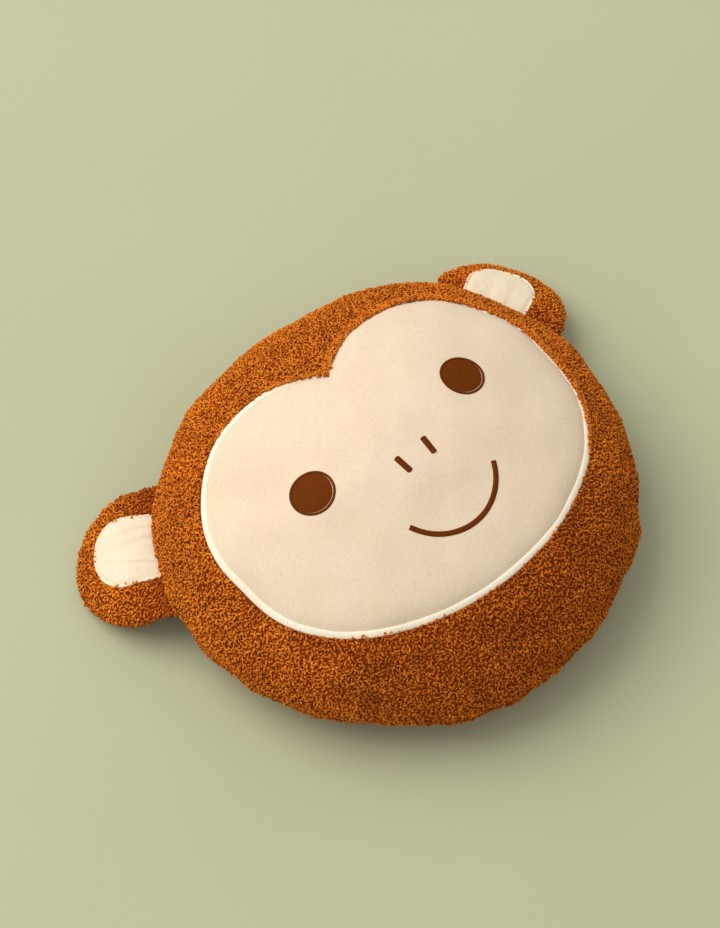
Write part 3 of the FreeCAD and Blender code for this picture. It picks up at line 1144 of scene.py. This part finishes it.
def ear_thick(x):
    reach = np.clip(x / EAR_LENGTH, 0, 1)
    rise = np.sin(math.pi / 2 * np.clip(reach / 0.42, 0, 1)) ** 0.8
    fall = np.sqrt(np.clip(1 - np.clip((reach - 0.42) / 0.58, 0, 1) ** 2, 0, 1))
    return np.where(reach < 0.42, EAR_ROOT_T + (EAR_HALF_T - EAR_ROOT_T) * rise, EAR_HALF_T * fall)


def ear_root(y):
    """Where the root starts along the ear for a place across it, so that it follows the seam."""
    return np.sqrt(EAR_ROOT_R**2 - np.clip(y, -60, 60) ** 2) - EAR_HINGE_R


def ear_seat(side):
    """Rotations that turn and droop an ear, and the point that its root sits at."""
    turn = EAR_ANGLES[side]
    across = np.array(Matrix.Rotation(turn, 3, "Z"))
    down = np.array(Matrix.Rotation(EAR_DROOP, 3, "Y"))
    origin = np.array([EAR_HINGE_R * math.cos(turn), EAR_HINGE_R * math.sin(turn), SEAM_Z])
    return across, down, origin


def set_down(side, local):
    """Ear points in the part's frame. Behind the hinge line the cloth stays level with the seam."""
    across, down, origin = ear_seat(side)
    x = local[..., 0:1]
    share = np.clip((x + 3) / 6, 0, 1)
    share = share * share * (3 - 2 * share)
    drooped = local @ down.T
    level = local * (1 - share) + drooped * share
    return level @ across.T + origin


class EarSkin(Skin):
    """An ear's closed surface: the first share goes round it, the second from root to tip."""

    def __init__(self, side):
        round_it = np.linspace(0, TAU, EAR_ROWS, endpoint=False)
        psi, along = grid_of(round_it, np.linspace(0, 1, EAR_COLS))
        swing = np.sin(along * math.pi / 2)
        x = ear_root(EAR_HALF_W * np.cos(psi)) * (1 - swing) + EAR_LENGTH * swing
        fuller = np.sign(np.sin(psi)) * np.abs(np.sin(psi)) ** 0.85
        local = np.stack([x, ear_width(x) * np.cos(psi), ear_thick(x) * fuller], -1)
        local = local + ear_folds(local, psi, 61 if side == "left" else 62)
        self.side = side
        self.local = local
        stretch = np.ones_like(local)
        stretch[..., 0] = np.where(x > 0, EAR_STRETCH[side], 1.0)
        crown_side = local[..., 1] * EAR_CROWN[side] > 0
        stretch[..., 1] += np.where(crown_side, EAR_SWELL[side], 0.0) * np.clip(x / 15, 0, 1)
        self.stretch = stretch
        placed = set_down(side, local * stretch)
        super().__init__(placed)
        up = set_down(side, np.array([20.0, 0, 5.0])) - set_down(side, np.array([20.0, 0, 0.0]))
        front = self.n[EAR_ROWS // 4, EAR_COLS // 3]
        if front @ up < 0:
            self.n = -self.n

    def share_of(self, x, y):
        """Grid shares on the front face for a place in the ear's plane, found by halving."""
        lo, hi = np.zeros_like(x), np.ones_like(x)
        for _ in range(26):
            mid = (lo + hi) / 2
            swing = np.sin(mid * math.pi / 2)
            there = ear_root(y) * (1 - swing) + EAR_LENGTH * swing
            lo, hi = np.where(there < x, mid, lo), np.where(there < x, hi, mid)
        w = ear_width(x)
        return np.arccos(np.clip(y / np.maximum(w, 1e-6), -1, 1)) / TAU, (lo + hi) / 2

    def front_at(self, x, y, lift):
        a, b = self.share_of(np.asarray(x, float), np.asarray(y, float))
        return self.at(a, b, lift)


def ear_folds(local, psi, seed):
    """Small gathers out of the sewn root, a pulled-in edge seam and a gentle unevenness."""
    rng = np.random.default_rng(seed)
    x, y = local[..., 0], local[..., 1]
    out = np.zeros_like(local)
    side = np.sign(np.sin(psi))
    for _ in range(10):
        where = rng.uniform(-50, 50)
        width = rng.uniform(2.5, 6)
        depth = rng.uniform(0.6, 1.7)
        reach = rng.uniform(9, 24)
        drift = rng.uniform(-0.25, 0.25)
        fade = np.exp(-np.clip(x, 0, None) / reach) * np.clip((x + 8) / 8, 0, 1)
        out[..., 2] -= side * depth * fade * bell(y - where - drift * x, width)
    edge = bell(local[..., 2], 2.2) * np.clip(x / 10, 0, 1)
    out[..., 1] -= 1.4 * edge * np.cos(psi)
    uneven = smooth_waves(local, seed + 5, 34, 0.5)
    out[..., 2] += uneven * np.clip(x / 12, 0, 1) * np.abs(np.sin(psi))
    return out


def inside_ear_patch(local, side, inset):
    """Whether ear points lie inside the inner ear's outline drawn in by inset."""
    x, y = local[..., 0], np.abs(local[..., 1] - EAR_CROWN[side] * EAR_PATCH_SHIFT)
    half, reach = EAR_PATCH_HALF - inset, EAR_PATCH_REACH - inset
    corner = EAR_PATCH_CORNER - inset
    straight = (x < reach - corner) & (y < half)
    nose = (y < half - corner) & (x < reach)
    rounded = np.hypot(x - (reach - corner), y - (half - corner)) < corner
    return (straight | nose | rounded) & (local[..., 2] > 0)


def ear_patch_outline(side, inset, count):
    """Points from the root up one side, round both corners and back to the root."""
    half, reach = EAR_PATCH_HALF - inset, EAR_PATCH_REACH - inset
    corner = EAR_PATCH_CORNER - inset
    shift = EAR_CROWN[side] * EAR_PATCH_SHIFT
    start = -1.5
    turn = np.linspace(-math.pi / 2, 0, 60)
    x, y = reach - corner + corner * np.cos(turn), corner - half + corner * np.sin(turn)
    low = np.stack([x, y], -1)
    line = np.concatenate([[[start, -half]], low, (low * [1, -1])[::-1], [[start, half]]])
    run = run_along(line)
    share = np.linspace(0, run[-1], count)
    x, y = np.interp(share, run, line[:, 0]), np.interp(share, run, line[:, 1])
    wave = 0.5 * np.sin(share / 7.0) + 0.35 * np.sin(share / 3.1 + 1)
    return np.stack([x + 0.35 * wave, y + shift + 0.35 * wave], -1)


def make_ear_covers(skin):
    """Front and back halves of an ear, meeting in its edge seam."""
    pieces = []
    for face, lo, hi in (("front", 0.0, 0.5), ("back", 0.5, 1.0)):
        a, b = grid_of(np.linspace(lo, hi, 161), np.linspace(0, 1, 110))
        under_patch = inside_ear_patch(skin._read(skin.local, a, b), skin.side, 1.5)
        lumps = np.where(under_patch, -0.5, cloth_lumps(skin.at(a, b))) * np.clip(b * 12, 0, 1)
        name = skin.side + "_ear_" + face + "_cover"
        pieces.append(grid_object(name, skin.at(a, b, lumps), TEDDY))
    return pieces


def make_ear_fill(skin):
    """The thin wad inside an ear, closed where the ear thins to its root."""
    a, b = grid_of(round_shares(96), np.linspace(0.16, 1, 60))
    local = skin._read(skin.local * skin.stretch, a, b) * [0.93, 0.93, 0.74]
    local[:, 0] = local[:, 0].mean(0)
    return grid_object(skin.side + "_ear_fibre", set_down(skin.side, local), FIBRE, True)


def make_ear_patch(skin):
    """The pale inner ear, creased where it runs into the root."""
    rows, cols = 110, 80
    half, reach = EAR_PATCH_HALF - 1.0, EAR_PATCH_REACH - 1.0
    corner = EAR_PATCH_CORNER - 1.0
    across = half * np.sin(np.linspace(-math.pi / 2, math.pi / 2, rows))[:, None]
    share = np.linspace(0, 1, cols)[None, :]
    bend = np.clip(np.abs(across) - (half - corner), 0, corner)
    tip = reach - corner + np.sqrt(np.maximum(corner**2 - bend**2, 0))
    y = across + EAR_CROWN[skin.side] * EAR_PATCH_SHIFT + 0 * share
    root = ear_root(y) + 1.0
    x = root * (1 - share) + tip * share
    edge = np.minimum(half - np.abs(across), tip - x)
    lift = 0.4 + 1.5 * (1 - bell(edge, 3.0))
    rng = np.random.default_rng(71 if skin.side == "left" else 72)
    for _ in range(4):
        where = rng.uniform(-20, 20)
        slant = rng.uniform(-1.3, 1.3)
        width = rng.uniform(1.4, 3.0)
        fade = np.exp(-np.clip(x, 0, None) / rng.uniform(10, 26)) * np.clip(edge / 5, 0, 1)
        off = across - where - slant * x
        crease = bell(off, width) - 0.8 * bell(off - 1.8 * width, width)
        lift = lift + EAR_CREASE[skin.side] * rng.uniform(0.2, 0.5) * crease * fade
    lift = lift + 0.15 * np.sin(y / 2.3 + x / 5) * np.exp(-edge / 3)
    places = skin.front_at(x, y, lift)
    return grid_object(skin.side + "_ear_velour", places, EAR_VELOUR, join=None)


def make_ear_border(skin):
    count = 620
    outer = ear_patch_outline(skin.side, -0.3, count)
    inner = ear_patch_outline(skin.side, 1.6, count)
    return satin_band(
        skin.side + "_ear_border", outer, inner, 0.9, 0.5, 0.9, EAR_THREAD, False, 7, skin.front_at
    )


def make_ear_curls(skin):
    pieces = []
    side = skin.side

    def front(a, b, p):
        local = skin._read(skin.local, a, b)
        return ((a < 0.5) & ~inside_ear_patch(local, side, 0.4) & (b > 0.02)).astype(float)

    def back(a, b, p):
        return ((a >= 0.5) & (b > 0.02)).astype(float)

    first_seed = 311 if side == "left" else 321
    for k, (face, mask, gap) in enumerate((("front", front, 1.0), ("back", back, 1.15))):
        seed = first_seed + k
        a, b = scatter(skin, mask, CURL_GAP * gap, seed)
        reach = skin._read(skin.local, a, b)[:, 0]
        # painted shade: curls darken towards the root, under the head's overhanging cheek
        tone = 0.3 + 0.85 * np.clip(reach / 24, 0, 1)
        name = "%s_ear_%s_curls" % (side, face)
        piece = curl_piece(name, skin.at(a, b), skin.normal(a, b), seed + 50, tone)
        keep_above_floor(piece)
        pieces.append(piece)
    return pieces


def make_stage():
    bpy.ops.mesh.primitive_grid_add(
        x_subdivisions=2, y_subdivisions=2, size=30, location=(0, 0, -0.0002)
    )
    floor = bpy.context.object
    floor.name = "floor"
    material, tree, shader = node_material("pale_floor")
    stops = [(0.3, srgb(188, 191, 157)), (0.7, srgb(192, 196, 162))]
    colour = ramp(tree, noise(tree, 2.5, 2), stops)
    finish_shader(tree, shader, colour, 0.9)
    dress(floor, material)


WASH_FROM = (-0.45, 0.25, 0.86)
WASH_SWING = 0.33
WASH_LEVEL = 0.43


def light_scene():
    """The key light, and a broad soft wash that is strongest on the key's side."""
    world = bpy.data.worlds.new("studio")
    bpy.context.scene.world = world
    world.use_nodes = True
    tree = world.node_tree
    background = tree.nodes["Background"]
    background.inputs["Color"].default_value = (1.0, 0.98, 0.95, 1)
    where = tree.nodes.new("ShaderNodeTexCoord")
    lean = add_node(tree, "ShaderNodeVectorMath", operation="DOT_PRODUCT")
    lean.inputs[1].default_value = from_studio(*WASH_FROM).normalized() * WASH_SWING
    level = add_node(tree, "ShaderNodeMath", operation="ADD")
    level.inputs[1].default_value = WASH_LEVEL
    tree.links.new(where.outputs["Generated"], lean.inputs[0])
    tree.links.new(lean.outputs["Value"], level.inputs[0])
    tree.links.new(level.outputs["Value"], background.inputs["Strength"])
    add_area("key", (-1.95, 0.66, 2.7), (0, 0, 0.05), 3.2, 72, (1.0, 0.97, 0.92))
    view = bpy.context.scene.view_settings
    view.view_transform = "Standard"
    view.look = "None"


make_stage()
light_scene()

# -------------------------------------------------------------------------------------------- build
def sew_to_head(piece, node):
    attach(piece, "head")
    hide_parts(node)


front, back = make_head_covers()
for piece, node, slot in (
    (front, "head_front_panel", "teddy_brown"),
    (back, "head_back_panel", "teddy_brown"),
    (make_head_fill(), "head_filling", "fibre_fill"),
):
    sew_to_head(piece, node)
for piece in make_head_curls():
    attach(piece, "head")

patch = make_face_patch()
sew_to_head(patch, "face_patch")

sew_to_head(make_border(), "face_border_stitch")

for side, sign in (("left", -1), ("right", 1)):
    fill, ring = make_eye(side, sign)
    bar = make_nostril(side, sign)
    for piece, node in ((fill, "_eye_fill"), (ring, "_eye_rim"), (bar, "_nostril_stitch")):
        sew_to_head(piece, side + node)
sew_to_head(make_smile(), "smile_stitch")
sew_to_head(make_edge_seam(), "perimeter_seam")
sew_to_head(make_closing_stitch(), "closing_stitch")


# the only CAD piece that nothing replaces
dress(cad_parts["embroidery_backing"], BACKING)


def bend_at_root(piece):
    """Bakes the piece's placement into its mesh."""
    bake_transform(piece)


def sew_to_ear(piece, side, node):
    bend_at_root(piece)
    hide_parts(side + node)


for side in ("left", "right"):
    skin = EarSkin(side)
    front, back = make_ear_covers(skin)
    for piece, node, slot in (
        (front, "_ear_front", "teddy_brown"),
        (back, "_ear_back", "teddy_brown"),
        (make_ear_fill(skin), "_ear_filling", "fibre_fill"),
    ):
        sew_to_ear(piece, side, node)
    for piece in make_ear_curls(skin):
        bend_at_root(piece)
    velour = make_ear_patch(skin)
    sew_to_ear(velour, side, "_ear_patch")
    sew_to_ear(make_ear_border(skin), side, "_ear_border_stitch")
